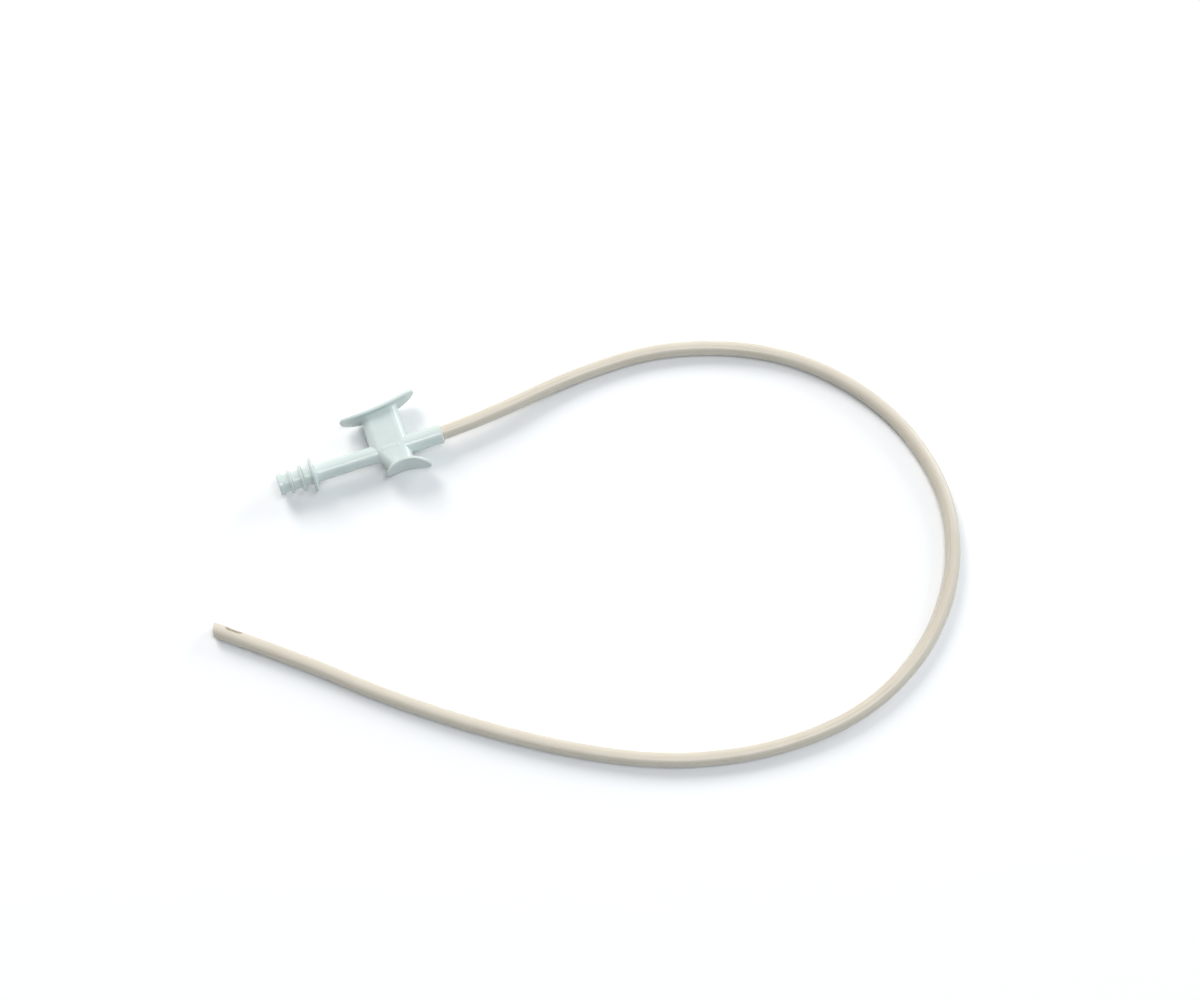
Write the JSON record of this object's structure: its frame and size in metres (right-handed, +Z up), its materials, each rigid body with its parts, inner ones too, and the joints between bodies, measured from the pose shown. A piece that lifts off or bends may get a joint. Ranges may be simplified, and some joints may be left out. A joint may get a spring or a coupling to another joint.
{
  "type": "suction catheter",
  "caption": "Airway suction catheter: soft translucent tube with an open, slanted tip and side eyes, bonded into a moulded thumb-control connector with a barbed nipple.",
  "frame": {"origin": "under the middle of the control connector, on the surface that the catheter lies on", "axes": "+X along the connector's barrel from its barbed nipple to its tube socket, +Y towards the thumb plate, +Z up from the surface"},
  "size_m": [0.2388, 0.1519, 0.0111],
  "materials": {
    "connector_plastic": "glossy injection-moulded plastic, pale mint white",
    "tube_pvc": "frosted, slightly translucent flexible PVC, warm beige"
  },
  "bodies": {
    "root": {"control_connector": "connector_plastic", "catheter_tube": "tube_pvc"}
  },
  "joints": []
}
